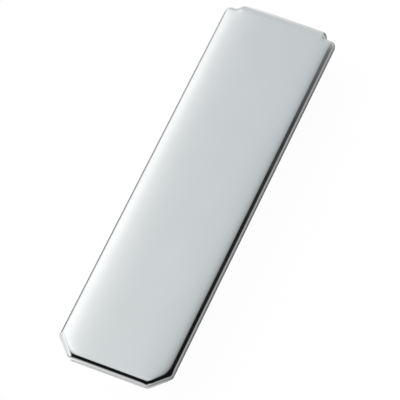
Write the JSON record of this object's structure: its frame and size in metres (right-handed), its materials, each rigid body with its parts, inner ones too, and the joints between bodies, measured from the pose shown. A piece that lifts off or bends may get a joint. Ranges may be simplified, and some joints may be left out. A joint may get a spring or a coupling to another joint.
{
  "type": "money clip",
  "caption": "Polished hinged money clip: a flat front plate with cut lower corners and a sprung arm behind it that grips folded banknotes.",
  "frame": {"origin": "centre of the bounding box's underside, where the arm's flat belly lies on a table", "axes": "+X across the width, +Y along the length towards the hinge, +Z out of the front face"},
  "size_m": [0.016, 0.06, 0.0056],
  "materials": {
    "front_plate": "mirror polished, bright silver-coloured plating",
    "clip_arm": "polished, fine rub marks along its length",
    "hinge_pin": "polished, headed-over ends",
    "leaf_spring": "spring steel, drawn finish along its length",
    "spring_rivets": "satin, peened heads"
  },
  "bodies": {
    "arm": {"clip_arm": "clip_arm"},
    "front": {"front_plate": "front_plate", "hinge_pin": "hinge_pin", "leaf_spring": "leaf_spring", "spring_rivets": "spring_rivets"}
  },
  "joints": [
    {"name": "arm_hinge", "type": "hinge", "parent": "arm", "child": "front", "pos_m": [0, 0.02707, 0.00173], "axis": [-1, 0, 0], "range_deg": [0, 60], "stiffness_Nm_per_rad": 0.03, "springref_deg": -28.65, "deforming": ["leaf_spring"]}
  ]
}
